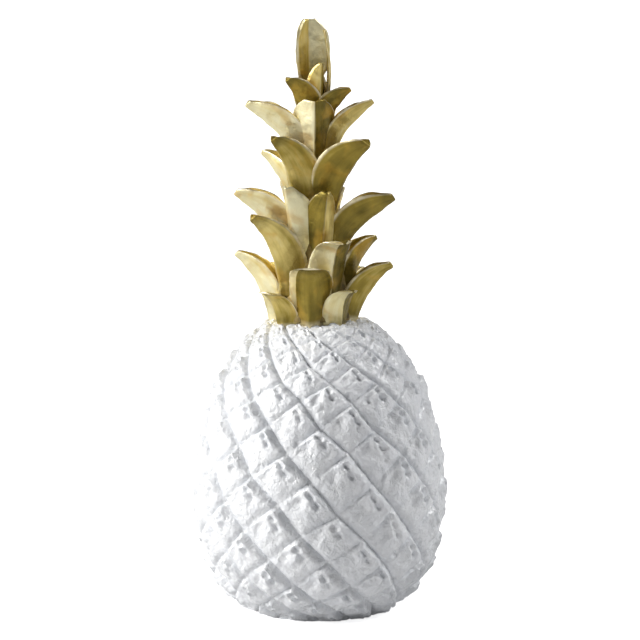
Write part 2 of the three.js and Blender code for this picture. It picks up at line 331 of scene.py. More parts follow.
def slope(start, end, steps=7):
    """Spots in a row between two places of the fruitlet."""
    return [tuple(a + (b - a) * n / (steps - 1) for a, b in zip(start, end)) for n in range(steps)]


def lift_all(test, lift):
    """Moves all vertices that pass a test straight up or down."""
    flag(fruitlet, test)
    bpy.ops.transform.translate(value=(0, 0, lift * MM))
    bpy.ops.object.mode_set(mode="OBJECT")


def in_groove(place, axis):
    """Whether a place lies in one of the two grooves at the ends of this axis."""
    return min(place[axis], SIDE - place[axis]) < BORDER * SIDE


lift_all(lambda place: off_border(place) > BORDER, 0.9)
lift_all(lambda place: in_groove(place, 1), -0.85)
lift_all(lambda place: in_groove(place, 0) and not in_groove(place, 1), 0.1)
grab(slope((0.1, 0.15), (0.9, 0.15), 9), 0.5, 0.3)
grab(slope((0.2, 0.3), (0.9, 0.9), 9), 0.6, 0.5, "LINEAR")
grab(slope((0.3, 0.4), (0.8, 0.8), 7), 0.3, 0.26)
print("pillow:", len(fruitlet.data.polygons), "faces")

# %% The bract on the pillow
SLIT = (0.2, 0.25), (0.55, 0.3)
SLIT_WIDTH = 0.05

grab([(0.3, 0.3)], 0.3, 0.3)
grab([(0.2, 0.6)], -0.4, 0.3)
modify(fruitlet, "SUBSURF", levels=1, render_levels=1, boundary_smooth="PRESERVE_CORNERS")
grab(slope((0.15, 0.15), (0.55, 0.2)), 0.35, 0.1, "LINEAR")
grab(slope(*SLIT), -1.4, 0.09, "LINEAR")
grab(slope((0.2, 0.35), (0.5, 0.45)), 0.35, 0.12, "LINEAR")
grab(slope((0.2, 0.5), (0.3, 0.7)), -0.5, 0.15)
grab(slope((0.1, 0.35), (0.1, 0.8)), 0.25, 0.1, "LINEAR")
tile = arrays(fruitlet)
tile_faces = [tuple(face.vertices) for face in fruitlet.data.polygons]
near_slit = [
    min((vertex.co.xy / SIDE - Vector(spot)).length for spot in slope(*SLIT, 15))
    for vertex in fruitlet.data.vertices
]
tile_pit = np.clip(1.5 - np.array(near_slit) / SLIT_WIDTH, 0, 1)
print("fruitlet:", len(tile_faces), "faces, proud by", round(tile[:, 2].max() / MM, 2), "mm")

# %% [markdown]
# ## The skin of the fruit
# The fruitlet is copied along both spirals and laid round the outline. A bend and a
# shrinkwrap could do it in the viewport, but they would stretch the rows near the neck, so
# each copy is mapped by the lattice itself. Seen from the side the fruitlets stand like the
# teeth of a saw, high at the upper right and low at the lower left. No two are alike on a
# hand-made piece: each copy's middle is shifted, raised and leaned a little by chance. The
# crossings of the grooves shift too, but there all the neighbours must follow alike, or the
# skin would tear.

# %% Laying the fruitlets round the outline
GROOVE_LIFT = -1.45
ROWS_LAID = range(-25, 25)
PAST_FOOT, PAST_NECK = 14.0, 28.0  # climb that the rows run past both ends
NECK_FADE = (60, 10), (1, 0.45)  # climb below the neck, and how proud fruitlets stand there

corner_shifts = chance.uniform(-0.08, 0.08, (LEFT_GROOVES, 80, 2))


def corner_shift(across, down):
    """The chance shift of a crossing of two grooves; one turn round leads to the same one."""
    turns, across = divmod(across, LEFT_GROOVES)
    return corner_shifts[across, down + RIGHT_GROOVES * turns + 40]


def laid_fruitlet(across, down):
    """The fruitlet's vertices on the skin, with its own small irregularities."""
    u, v, height = tile[:, 0] / SIDE, tile[:, 1] / SIDE, tile[:, 2] / MM
    drawn = 0
    for right, low in ((0, 0), (0, 1), (1, 0), (1, 1)):
        share = (u if right else 1 - u) * (v if low else 1 - v)
        drawn = drawn + np.outer(share, corner_shift(across + right, down + low))
    inner = np.clip(16 * u * (1 - u) * v * (1 - v), 0, 1)
    shift = chance.uniform(-0.07, 0.07, 2)
    middle = lattice_climb(across + 0.5, down + 0.5)
    fade = np.interp(middle, NECK_CLIMB - np.array(NECK_FADE[0]), NECK_FADE[1])
    raised = chance.uniform(0.95, 1.25) * fade
    raised = raised * (1 - chance.uniform(0.5, 0.75) * np.clip((v - 0.3) / 0.65, 0, 1))
    tilt = chance.uniform(-0.3, 0.3, 2)
    here_u = across + u + shift[0] * inner + drawn[:, 0]
    here_v = down + v + shift[1] * inner + drawn[:, 1]
    lift = height * (1 + (raised - 1) * np.minimum(6 * inner, 1))
    lift += GROOVE_LIFT + inner * (tilt[0] * (u - 0.5) + tilt[1] * (v - 0.5))
    return skin_place(lattice_turn(here_u, here_v), lattice_climb(here_u, here_v), lift)


places, faces = [], []
for across in range(LEFT_GROOVES):
    for down in ROWS_LAID:
        if not -PAST_FOOT < lattice_climb(across + 0.5, down + 0.5) < NECK_CLIMB + PAST_NECK:
            continue
        first = len(places) * len(tile)
        places.append(laid_fruitlet(across, down))
        faces += [tuple(first + n for n in face) for face in tile_faces]
fruit_body = new_piece("fruit_shell", np.vstack(places), faces)
mark(fruit_body, "pit", np.tile(tile_pit, len(places)))
bpy.data.objects.remove(fruitlet)
pick(fruit_body)
bpy.ops.object.mode_set(mode="EDIT")
bpy.ops.mesh.select_all(action="SELECT")
bpy.ops.mesh.remove_doubles(threshold=0.02 * MM)
bpy.ops.mesh.normals_make_consistent(inside=False)
bpy.ops.object.mode_set(mode="OBJECT")
print("skin:", len(places), "fruitlets,", len(fruit_body.data.polygons), "faces")

# %% [markdown]
# ## Lumps, wrinkles and pits
# A casting from a hand-made mould is uneven at every size. Sculpt brushes could add this
# spot by spot, but a Displace modifier with a noise texture does the whole skin at once and
# gives the same result each time. Three are applied: broad lumps, fine wrinkles, and a
# pattern of cells that only presses in where its centres are, which makes small pits.

# %% Lumps and wrinkles of the casting
def clay(name, kind, size):
    """A texture that a Displace modifier reads, with lumps of this size."""
    texture = bpy.data.textures.new(name, kind)
    texture.noise_scale = size
    return texture


def press(piece, texture, depth, level):
    """Displaces a piece by a texture; the texture value at this level moves nothing."""
    modify(piece, "DISPLACE", texture=texture, strength=depth * MM, mid_level=level,
           texture_coords="LOCAL")


press(fruit_body, clay("lumps", "CLOUDS", 5 * MM), 0.9, 0.7)
press(fruit_body, clay("wrinkles", "CLOUDS", 2 * MM), 0.75, 0.6)
pits = clay("pits", "VORONOI", 5 * MM)
pits.use_color_ramp = True
pits.color_ramp.elements[1].position = 0.3
for stop, shade in zip(pits.color_ramp.elements, (0, 1)):
    stop.color = (shade, shade, shade, 1)
press(fruit_body, pits, 0.7, 1)
print("skin box:", [round(v, 4) for v in arrays(fruit_body).max(0)])

# %% [markdown]
# ## Making the skin a hollow body
# The skin runs past both ends: over the neck it curls in under the leaves, and at the foot
# it goes on below the ground. Both open edges are extruded and drawn together on the axis,
# which closes it: a Boolean modifier needs a closed body to tell inside from outside.

# %% Closing both ends of the skin
flag(fruit_body, lambda place: False)
bpy.ops.mesh.select_mode(type="EDGE")
bpy.ops.mesh.select_non_manifold(extend=False, use_boundary=True, use_multi_face=False)
bpy.ops.mesh.extrude_edges_move()
bpy.ops.transform.resize(value=(0.01, 0.01, 1), center_override=(0, 0, 0))
bpy.ops.mesh.merge(type="COLLAPSE")
bpy.ops.mesh.select_all(action="SELECT")
bpy.ops.mesh.normals_make_consistent(inside=False)
bpy.ops.object.mode_set(mode="OBJECT")
print("skin closed:", len(fruit_body.data.polygons), "faces")

# %% [markdown]
# ## The room, the hole in the base and the slot
# A real bank is hollow because the resin is slushed round the mould and poured out again.
# Here Boolean modifiers cut the skin level at the ground and take out the room, the stepped
# hole for the stopper and the slot. A Solidify modifier would copy every wrinkle to the
# inner wall, where nobody sees it. The cutters are circles extruded and scaled ring by ring.

# %% Cutters for the ground, the room, the base and the slot
def turned(name, rings, sides):
    """A solid of revolution: a circle extruded and scaled up through (radius, height) rings."""
    radius, height = rings[0]
    bpy.ops.mesh.primitive_circle_add(
        vertices=sides, radius=radius * MM, fill_type="NGON", location=(0, 0, height * MM)
    )
    made = bpy.context.object
    made.name = name
    bpy.ops.object.transform_apply(location=True, rotation=True, scale=True)
    bpy.ops.object.mode_set(mode="EDIT")
    bpy.ops.mesh.select_all(action="SELECT")
    for next_radius, next_height in rings[1:]:
        bpy.ops.mesh.extrude_region_move(
            TRANSFORM_OT_translate={"value": (0, 0, (next_height - height) * MM)}
        )
        bpy.ops.transform.resize(
            value=(next_radius / radius, next_radius / radius, 1), center_override=(0, 0, 0)
        )
        radius, height = next_radius, next_height
    bpy.ops.mesh.select_all(action="SELECT")
    bpy.ops.mesh.normals_make_consistent(inside=False)
    bpy.ops.object.mode_set(mode="OBJECT")
    return made


WALL = 5.5
ROOM_LEVELS = (14, 19, *range(24, 90, 6), 89, 94)
SLOT_LENGTH, SLOT_HEIGHT, SLOT_LEVEL = 36, 5.4, 84

room = [(np.interp(height, line[:, 1], line[:, 0]) - WALL, height) for height in ROOM_LEVELS]
room = [(room[0][0] - 9, 6), (room[0][0] - 3, 9), *room, (room[-1][0] - 9, 101), (14, 104)]
ground_cutter = turned("ground_cutter", [(60, -30), (60, 0)], 16)
room_cutter = turned("room_cutter", room, 64)
base_cutter = turned("base_cutter", [(23.6, -2), (23, 0.6), (23, 2.4), (19, 2.4), (19, 8)], 96)


def slot_cutter(length, height, level):
    """A bar with round ends, lying front to back through the rear wall, for the coin slot."""
    bpy.ops.mesh.primitive_cylinder_add(
        vertices=32, radius=height / 2 * MM, depth=50 * MM, rotation=(math.pi / 2, 0, 0),
        location=(0, 43 * MM, level * MM),
    )
    made = bpy.context.object
    made.name = "slot_cutter"
    bpy.ops.object.transform_apply(location=True, rotation=True, scale=True)
    for side in (-1, 1):
        flag(made, lambda place: place.x * side > 0.01 * MM)
        bpy.ops.transform.translate(value=(side * (length - height) / 2 * MM, 0, 0))
        bpy.ops.object.mode_set(mode="OBJECT")
    return made


coin_cutter = slot_cutter(SLOT_LENGTH, SLOT_HEIGHT, SLOT_LEVEL)
for cutter in (ground_cutter, room_cutter, base_cutter, coin_cutter):
    modify(fruit_body, "BOOLEAN", object=cutter, operation="DIFFERENCE", solver="MANIFOLD")
    bpy.data.objects.remove(cutter)
print("body:", len(fruit_body.data.polygons), "faces")

# %% [markdown]
# ## Where the grooves are
# The paint needs to know the grooves, because it lays dust and painted shade there. A mask
# by pointiness would also catch every wrinkle. The lattice knows the grooves exactly, so
# each vertex gets a number from it: one in a groove, falling to none at a short distance,
# and none inside.

# %% Shading, and which places lie in a groove
GROOVE_WIDTH = 0.12
SKIN_DEPTH = 3


def lattice_shares(places):
    """For places on the skin: how far each is from the nearest groove, 0 to 0.5 of a side."""
    turn = np.degrees(np.arctan2(places[:, 0], -places[:, 1]))
    climb = np.interp(places[:, 2] / MM, line[:, 1], climbs)
    right = np.array([RIGHT_TURN, -RIGHT_DROP])
    left = np.array([-LEFT_TURN, -LEFT_DROP])
    steps = np.linalg.inv(np.column_stack([right, left]))
    u, v = steps @ np.array([turn - START_TURN, climb - START_CLIMB])
    u, v = u % 1, v % 1
    return np.minimum.reduce([u, v, 1 - u, 1 - v])


places = arrays(fruit_body)
outline_radius = np.interp(places[:, 2] / MM, line[:, 1], line[:, 0])
inside = np.hypot(places[:, 0], places[:, 1]) / MM < outline_radius - SKIN_DEPTH
grooved = 1 - np.clip(lattice_shares(places) / GROOVE_WIDTH, 0, 1)
# the groove mask tells the white paint where its dust and painted shade go
mark(fruit_body, "groove", np.where(inside, 0, grooved))
smooth(fruit_body, 55)
print("outside:", round(float(np.mean(~inside)), 2), "of the vertices")

# %% [markdown]
# ## The crown's core
# The leaves stand on a tapered stalk that only shows in the gaps between them. It is a
# circle extruded and scaled upwards, smoothed by a subdivision surface and made lumpy, as
# the filled resin between the leaf roots is.

# %% Crown core
CROWN_SHIFT = -2.3
STALK_FOOT, STALK_TOP, STALK_TAPER = 16.5, 3.0, 0.8
CROWN_TOP = 214.0


def stalk_radius(height):
    """The stalk's radius in millimetres at a height."""
    share = max((height - FRUIT_HEIGHT) / (CROWN_TOP - FRUIT_HEIGHT), 0)
    return STALK_FOOT + (STALK_TOP - STALK_FOOT) * share**STALK_TAPER


levels = (116.5, 119, 126, 134, 143, 152, 161, 170, 180, 190, 200, 208, 212)
core = turned("crown_core", [(stalk_radius(z), z) for z in levels] + [(1.4, 213.4)], 32)
modify(core, "SUBSURF", levels=1, render_levels=1)
core.location.x = CROWN_SHIFT * MM
pick(core)
bpy.ops.object.transform_apply(location=True, rotation=True, scale=True)
press(core, clay("core_lumps", "CLOUDS", 6 * MM), 1.2, 0.7)
smooth(core, 60)
print("core:", len(core.data.polygons), "faces")

# %% [markdown]
# ## One flat leaf blade
# Every leaf is the same kind of thing: a blade with a keel along its back, folded up into a
# trough and curled outwards. Each could be sculpted by itself, but then no two would share a
# margin or a keel. So the blade is modelled once, flat: a grid, made thick with a Solidify
# modifier. The place of a vertex in it says which part of the leaf it becomes.

# %% Leaf blade
ACROSS, ALONG = 14, 26

bpy.ops.mesh.primitive_grid_add(x_subdivisions=ACROSS, y_subdivisions=ALONG, size=2)
blade = bpy.context.object
blade.name = "leaf_blade"
modify(blade, "SOLIDIFY", thickness=1.0, offset=-1)
blade_places = arrays(blade)
blade_across = blade_places[:, 0]
blade_along = (blade_places[:, 1] + 1) / 2
blade_inward = -blade_places[:, 2]
print("blade:", len(blade.data.polygons), "faces")

# %% [markdown]
# ## Folding and curling a leaf
# A leaf's keel is a Bezier curve that leaves the stalk almost upright and bends outwards.
# At each height the section is an arch: narrow at the foot, full in the middle and blunt at
# the tip. Wrapping the blade along its keel by these rules keeps the crisp back and the
# thick rims, which bend and twist modifiers would smear.

# %% Leaf shape
LEAF_SEAT, LEAF_THICK, LEAF_THINNING = 1.6, 2.6, 0.35
LEAF_RIM, LEAF_ARC, KEEL_PULL = 1.5, math.radians(68), 0.35
KEEL_CREASE = 0.8
RIM_SHARE, WALL_SHARE, WALL_LEAST = 0.45, 0.6, 0.6


def leaf_swell(share, foot=0.8, fullest=0.4, blunt=0.26, rounding=2.2):
    """Half width along a leaf as a share of the widest."""
    rising = foot + (1 - foot) * np.sin(np.pi / 2 * np.clip(share / fullest, 0, 1))
    past = np.clip((share - fullest) / (1 - fullest), 0, 1)
    return np.where(share < fullest, rising, blunt + (1 - blunt) * (1 - past**rounding))


def keel_line(root, rise, reach, droop, lean):
    """Shares of the keel's length, and its points and directions as [distance out, height]."""
    def heading(degrees, length):
        return length * np.array([math.sin(math.radians(degrees)), math.cos(math.radians(degrees))])

    pull = KEEL_PULL * math.hypot(rise, reach)
    foot = np.array([stalk_radius(root) + LEAF_SEAT, root])
    tip = foot + (reach, rise)
    handles = (foot, foot + heading(lean, pull), tip - heading(droop, pull), tip)
    t = np.linspace(0, 1, 200)[:, None]
    weights = ((1 - t) ** 3, 3 * t * (1 - t) ** 2, 3 * t**2 * (1 - t), t**3)
    curve = sum(weight * handle for weight, handle in zip(weights, handles))
    lengths = np.append(0, np.cumsum(np.hypot(*np.diff(curve, axis=0).T)))
    directions = np.gradient(curve, lengths, axis=0)
    directions /= np.linalg.norm(directions, axis=1)[:, None]
    return lengths / lengths[-1], curve, directions


def leaf_places(root, faces, rise, reach, width, droop=48, lean=8, cup=1.3,
                thick=LEAF_THICK, flat=0.0, **swell):
    """The blade's vertices folded and curled into this leaf, in metres."""
    shares, curve, directions = keel_line(root, rise, reach, droop, lean)
    at, along = (
        np.column_stack([np.interp(blade_along, shares, rows[:, k]) for k in (0, 1)])
        for rows in (curve, directions)
    )
    half = width / 2 * leaf_swell(blade_along, **swell)
    depth = cup * half * (1 - flat * blade_along**2)
    angle = blade_across * LEAF_ARC
    arch = (1 - np.cos(angle)) / (1 - math.cos(LEAF_ARC))
    arch = (1 - KEEL_CREASE) * arch + KEEL_CREASE * np.abs(blade_across)
    side = half * np.sin(angle) / math.sin(LEAF_ARC)
    rim = np.minimum(LEAF_RIM, RIM_SHARE * half)
    wall = thick * (1 - LEAF_THINNING * blade_along)
    wall = np.minimum(wall, WALL_SHARE * depth + WALL_LEAST)
    inner_back = depth * arch + wall * (1 - blade_across**2)
    side = side * (1 - blade_inward * rim / half)
    back = depth * arch * (1 - blade_inward) + inner_back * blade_inward
    out = at[:, 0] - along[:, 1] * back
    height = at[:, 1] + along[:, 0] * back
    turn = math.radians(faces)
    x = side * math.cos(turn) + out * math.sin(turn)
    y = side * math.sin(turn) - out * math.cos(turn)
    return MM * np.column_stack([x + CROWN_SHIFT, y, height])


print("leaf shape ready")

# %% [markdown]
# ## Seven rows of leaves
# The leaves are set by hand and unevenly, so each has its own numbers: the way it faces in
# degrees from the front, how far its tip rises and reaches, its width, and where it differs
# how its tip droops, leans or is cut off. An array modifier would set them evenly, like the
# petals of a machine-made flower. The rows repeat those of the solids, save that a few tips
# are a little blunter or droop less. Each leaf also says how pale its two sides are, which
# is painted light on a side facing the window and painted shade on a side turned away, where
# the two sides part, how dark its tip is, and whether its cut end gets a thin painted
# highlight over a painted shadow.

# %% Rows of leaves
DOME = dict(cup=0.9, blunt=0.25, rounding=4, flat=0.9)
# rolled blunt tips: a painted highlight on the cut end over a painted shadow, light parting off the
# keel
BLUNT = dict(blunt=0.5, rounding=4, flat=1, tip=1, lip=1, split=0.24)
EVEN_SIDES, PLAIN_TIP, MIDDLE = (0.6, 0.6), 0.3, 0.5

# paint: how pale each side of a leaf is, painted light on a lit side and painted shade on a dark
# one
# each row: the height of its roots, then its leaves from the front round to the right
ROWS = [
    (115, [
        dict(faces=-4, rise=26, reach=9, width=18.5, droop=50, paint=(0.95, 0.2), **BLUNT),
        dict(faces=38, rise=15.5, reach=7, width=14, droop=90, paint=(0.85, 0.12), **DOME),
        dict(faces=84, rise=24, reach=14, width=15, paint=(0.36, 0.5)),
        dict(faces=130, rise=20, reach=9, width=15),
        dict(faces=172, rise=24, reach=10, width=15),
        dict(faces=-140, rise=21, reach=12, width=15),
        dict(faces=-95, rise=28, reach=14, width=15, paint=(0.6, 0.85)),
        dict(faces=-52, rise=15, reach=7, width=15, droop=60, cup=0.9, paint=(0.8, 0.34),
             **BLUNT),
    ]),
    (127, [
        dict(faces=-56, rise=32, reach=14.5, width=17, paint=(0.5, 0.5), tip=1),
        dict(faces=26, rise=23, reach=11, width=17, droop=100, paint=(1.1, 0.05), **DOME),
        dict(faces=104, rise=22, reach=11, width=14, paint=(0.2, 0.5)),
        dict(faces=152, rise=26, reach=12, width=16),
        dict(faces=-158, rise=25, reach=12, width=16),
        dict(faces=-124, rise=20, reach=7, width=14),
    ]),
    (143, [
        dict(faces=-84, rise=25, reach=19, width=18, paint=(0.7, 0.9)),
        dict(faces=-34, rise=29, reach=7, width=15, droop=16, paint=(1.1, 1.05)),
        dict(faces=16, rise=27, reach=7, width=15, droop=16, paint=(0.16, 0.55), tip=0.8),
        dict(faces=82, rise=23, reach=20, width=18, paint=(0.2, 0.5), tip=0.8),
        dict(faces=148, rise=24, reach=9, width=16),
        dict(faces=-150, rise=26, reach=12, width=16),
    ]),
    (160, [
        dict(faces=-48, rise=30, reach=12, width=18, paint=(0.5, 0.38), tip=1),
        dict(faces=54, rise=28, reach=17, width=18, foot=0.6, fullest=0.5, blunt=0.35,
             paint=(0.26, 0.2), tip=0.6),
        dict(faces=122, rise=24, reach=10, width=15),
        dict(faces=182, rise=26, reach=10, width=16),
        dict(faces=-112, rise=23, reach=12, width=14, paint=(0.6, 0.8)),
    ]),
    (180, [
        dict(faces=2, rise=26, reach=7, width=18, droop=8, cup=1.5, blunt=0.5, rounding=3,
             flat=0.4, paint=(1.1, 0.03)),
        dict(faces=-86, rise=23, reach=19, width=16, paint=(0.7, 0.95)),
        dict(faces=88, rise=24, reach=16, width=12, lean=4, paint=(0.6, 0.5)),
        dict(faces=150, rise=24, reach=10, width=14),
        dict(faces=-152, rise=23, reach=6, width=14),
    ]),
    (194, [
        dict(faces=-55, rise=19, reach=7, width=14, paint=(0.5, 0.24), tip=0.9),
        dict(faces=78, rise=15, reach=9, width=12, paint=(0.12, 0.5), tip=0.6),
        dict(faces=175, rise=20, reach=7, width=13),
    ]),
    (204, [
        dict(faces=30, rise=16, reach=1, width=8, droop=5, lean=2, paint=(0.6, 0.3)),
        dict(faces=-150, rise=33.5, reach=-0.5, width=16.5, droop=-6, lean=0, cup=0.7,
             foot=0.22, fullest=0.62, blunt=0.4, rounding=3, paint=(1.1, 0.62), tip=0),
        dict(faces=96, rise=29, reach=-1, width=8, droop=-16, lean=14, cup=0.4, thick=1,
             blunt=0.35, paint=(0.6, 0.6)),
    ]),
]

leaf_clay = clay("leaf_lumps", "CLOUDS", 6 * MM)
leaves = []
for row, (root, cuts) in enumerate(ROWS, 1):
    for n, cut in enumerate(cuts, 1):
        leaf = blade.copy()
        leaf.data = blade.data.copy()
        leaf.name = leaf.data.name = f"gold_leaf_{row}_{n}"
        cut = dict(cut)
        # the sides' paleness and the tip carry painted light and shade, the lip a painted highlight
        light_shade_and_paint = dict(zip(("light_and_shade_one_side", "light_and_shade_other_side"), cut.pop("paint", EVEN_SIDES)))
        light_shade_and_paint.update(dark_tip=cut.pop("tip", PLAIN_TIP), lip=cut.pop("lip", 0),
                        split=cut.pop("split", MIDDLE), in_neck=float(row == 1))
        scene.collection.objects.link(leaf)
        reshape(leaf, leaf_places(root, **cut))
        mark(leaf, "inward", blade_inward)
        for name, value in light_shade_and_paint.items():
            mark(leaf, name, np.full(len(blade_along), value))
        modify(leaf, "SUBSURF", levels=1, render_levels=1, boundary_smooth="PRESERVE_CORNERS")
        press(leaf, leaf_clay, 1.1, 0.55)
        pick(leaf)
        bpy.ops.object.mode_set(mode="EDIT")
        bpy.ops.mesh.select_all(action="SELECT")
        bpy.ops.mesh.normals_make_consistent(inside=False)
        bpy.ops.object.mode_set(mode="OBJECT")
        smooth(leaf, 50)
        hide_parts(f"leaf_row{row}_{n}")
        leaves.append(leaf)
bpy.data.objects.remove(blade)
print(len(leaves), "leaves of", len(leaves[0].data.polygons), "faces")

# %% [markdown]
# ## The stopper
# A soft plug closes the base: a thin flange in a recess, a barrel with two gripping ribs
# and a cup inside that lets it give. Rings could be extruded one by one as for the cutters,
# but with ribs and a cup it is easier to draw the section as a line of points and spin it.

# %% Stopper
plug_section = [
    (0, 1.4), (11.6, 1.4), (12.2, 1.2), (12.8, 0.8), (13.2, 0.65), (21.8, 0.6), (22.3, 0.9),
    (22.4, 1.4), (22.3, 1.9), (21.9, 2.1), (17.9, 2.1), (17.8, 3.3), (18.3, 3.6), (18.6, 4.0),
    (18.6, 4.4), (18.3, 4.8), (17.8, 5.1), (17.8, 6.3), (18.3, 6.6), (18.6, 7.0), (18.6, 7.4),
    (18.3, 7.9), (17.4, 8.8), (16.9, 9.0), (15.8, 9.0), (15.4, 8.6), (15.2, 4.2), (14.6, 3.6),
    (0, 3.6),
]
plug = new_piece("soft_stopper", [(out * MM, 0, up * MM) for out, up in plug_section], [])
plug.data.edges.add(len(plug_section) - 1)
for n, edge in enumerate(plug.data.edges):
    edge.vertices = (n, n + 1)
pick(plug)
bpy.ops.object.mode_set(mode="EDIT")
bpy.ops.mesh.select_all(action="SELECT")
bpy.ops.mesh.spin(steps=96, angle=2 * math.pi, center=(0, 0, 0), axis=(0, 0, 1))
bpy.ops.mesh.select_all(action="SELECT")
bpy.ops.mesh.remove_doubles(threshold=0.01 * MM)
bpy.ops.mesh.normals_make_consistent(inside=False)
bpy.ops.object.mode_set(mode="OBJECT")
smooth(plug, 35)
print("stopper:", len(plug.data.polygons), "faces")

# %% [markdown]
# ## Small tools for materials
# Materials are networks of nodes. In the editor one adds them by hand and draws the wires.
# These helpers do the steps that come back most: a node with its sockets fed, two values
# joined, two colours mixed, a value carried to another range, a noise, and a node group.

# %% Tools for materials
def feed(tree, socket, value):
    """Sets a socket to a value or colour, or wires another node's output to it."""
    if isinstance(value, bpy.types.NodeSocket):
        tree.links.new(value, socket)
    elif socket.type == "RGBA":
        socket.default_value = (*value, 1)
    else:
        socket.default_value = value


def add(tree, kind, inputs=None, **settings):
    """Adds a node, sets its properties, then feeds its sockets."""
    node = tree.nodes.new(kind)
    for name, value in settings.items():
        setattr(node, name, value)
    for name, value in (inputs or {}).items():
        feed(tree, node.inputs[name], value)
    return node


def combine(tree, operation, first, second, **settings):
    """Two values joined by a math node."""
    node = add(tree, "ShaderNodeMath", {0: first, 1: second}, operation=operation, **settings)
    return node.outputs[0]


def blend(tree, first, second, share, kind="RGBA"):
    """Two colours, or two values, mixed by a share."""
    node = add(tree, "ShaderNodeMix", {"A": first, "B": second, "Factor": share}, data_type=kind)
    return node.outputs["Result"]


def ramp(tree, source, low, high, to_low=0.0, to_high=1.0, kind="SMOOTHSTEP"):
    """A value carried from one range to another, kept inside it."""
    limits = {"From Min": low, "From Max": high, "To Min": to_low, "To Max": to_high}
    node = add(tree, "ShaderNodeMapRange", {"Value": source, **limits}, interpolation_type=kind)
    return node.outputs["Result"]


def noise(tree, where, scale, detail, **more):
    """The value of a noise texture at a place."""
    inputs = {"Vector": where, "Scale": scale, "Detail": detail, **more}
    return add(tree, "ShaderNodeTexNoise", inputs).outputs["Fac"]


def mask(tree, name):
    """A mask that a piece carries on its mesh."""
    return add(tree, "ShaderNodeAttribute", attribute_name=name).outputs["Fac"]


def group(name, inputs, outputs):
    """An empty shader node group with these sockets, and its input and output nodes."""
    tree = bpy.data.node_groups.new(name, "ShaderNodeTree")
    for label, kind, value in inputs:
        socket = tree.interface.new_socket(label, in_out="INPUT", socket_type=f"NodeSocket{kind}")
        socket.default_value = value
    for label, kind in outputs:
        tree.interface.new_socket(label, in_out="OUTPUT", socket_type=f"NodeSocket{kind}")
    return tree, tree.nodes.new("NodeGroupInput"), tree.nodes.new("NodeGroupOutput")


print("material tools ready")

# %% [markdown]
# ## The unevenness of hand paint
# Every finish here was laid on with a brush, so this effect is a shader node group that all
# of them share. Noise textures on Object coordinates give a broad mottle for the colour and
# the gloss, and together with a finer grain a height for the bump. An image of brush marks
# would show its seams on so round a thing.

# %% Hand paint
hand_paint, start, end = group(
    "hand paint",
    [("Brush Size", "Float", 120.0), ("Grain Size", "Float", 900.0), ("Grain Depth", "Float", 0.4)],
    [("Mottle", "Float"), ("Height", "Float")],
)
where = add(hand_paint, "ShaderNodeTexCoord").outputs["Object"]
brush = noise(hand_paint, where, start.outputs["Brush Size"], 4, Roughness=0.55)
grain = noise(hand_paint, where, start.outputs["Grain Size"], 3, Roughness=0.6, Distortion=0.6)
grain = combine(hand_paint, "MULTIPLY", grain, start.outputs["Grain Depth"])
feed(hand_paint, end.inputs["Mottle"], brush)
feed(hand_paint, end.inputs["Height"], combine(hand_paint, "ADD", brush, grain))
print("group:", hand_paint.name)

# %% [markdown]
# ## Colour darkened in recesses
# Dust and painted shade go into the white grooves, glaze and painted shade into the gold
# roots, troughs and tips, and painted shade onto the core. It is one effect with its own
# values for each finish: where a mask says a recess is, a second colour is mixed in, broken
# up by the paint's own mottle so that it never looks like an even line.

# %% Recess colour: dust, glaze and painted shade
# the second colour stands for dust, glaze and painted shade in the recesses
recess_darkening, start, end = group(
    "settled colour",
    [("Base", "Color", (0.8, 0.8, 0.8, 1)), ("Recess Colour", "Color", (0.5, 0.5, 0.5, 1)),
     ("Recess", "Float", 0.0), ("Amount", "Float", 0.5), ("Breakup", "Float", 0.5)],
    [("Color", "Color")],
)
broken = ramp(recess_darkening, start.outputs["Breakup"], 0.3, 0.7, kind="LINEAR")
masked = combine(recess_darkening, "MULTIPLY", start.outputs["Recess"], broken)
scaled = combine(recess_darkening, "MULTIPLY", masked, start.outputs["Amount"], use_clamp=True)
mixed = blend(recess_darkening, start.outputs["Base"], start.outputs["Recess Colour"], scaled)
feed(recess_darkening, end.inputs["Color"], mixed)
print("group:", recess_darkening.name)

# %% [markdown]
# ## A finish and its hand-painted surface
# Every material starts the same way: a Principled shader whose bump and gloss come from the
# hand paint group. What is the same all over a piece, such as how metallic it is, is set on
# the shader itself.

# %% Making a finish
def finish(name, metallic=0.0, coat=0.0):
    """A new material, its tree and its Principled shader."""
    material = bpy.data.materials.new(name)
    material.use_nodes = True
    shader = material.node_tree.nodes["Principled BSDF"]
    shader.inputs["Metallic"].default_value = metallic
    shader.inputs["Coat Weight"].default_value = coat
    shader.inputs["IOR"].default_value = 1.5
    return material, material.node_tree, shader


def painted_surface(tree, shader, brush_size, grain_size, grain_depth, bump, distance, rough):
    """Wires the hand paint group to the bump and the gloss, and gives its mottle."""
    sizes = {"Brush Size": brush_size, "Grain Size": grain_size, "Grain Depth": grain_depth}
    paint = add(tree, "ShaderNodeGroup", sizes, node_tree=hand_paint)
    relief = {"Strength": bump, "Distance": distance, "Height": paint.outputs["Height"]}
    feed(tree, shader.inputs["Normal"], add(tree, "ShaderNodeBump", relief).outputs["Normal"])
    gloss = ramp(tree, paint.outputs["Mottle"], 0.3, 0.7, *rough, kind="LINEAR")
    feed(tree, shader.inputs["Roughness"], gloss)
    return paint.outputs["Mottle"]


def darken_recesses(tree, base, second, recess, amount, mottle):
    """The base colour with a second, darker one mixed into the recesses as dust, glaze and painted
    shade.
    """
    colours = {"Base": base, "Recess Colour": second}
    masks = {"Recess": recess, "Amount": amount, "Breakup": mottle}
    node = add(tree, "ShaderNodeGroup", {**colours, **masks}, node_tree=recess_darkening)
    return node.outputs["Color"]


def dress(piece, material):
    """Gives a piece this material and no other."""
    piece.data.materials.clear()
    piece.data.materials.append(material)


print("finishes ready")
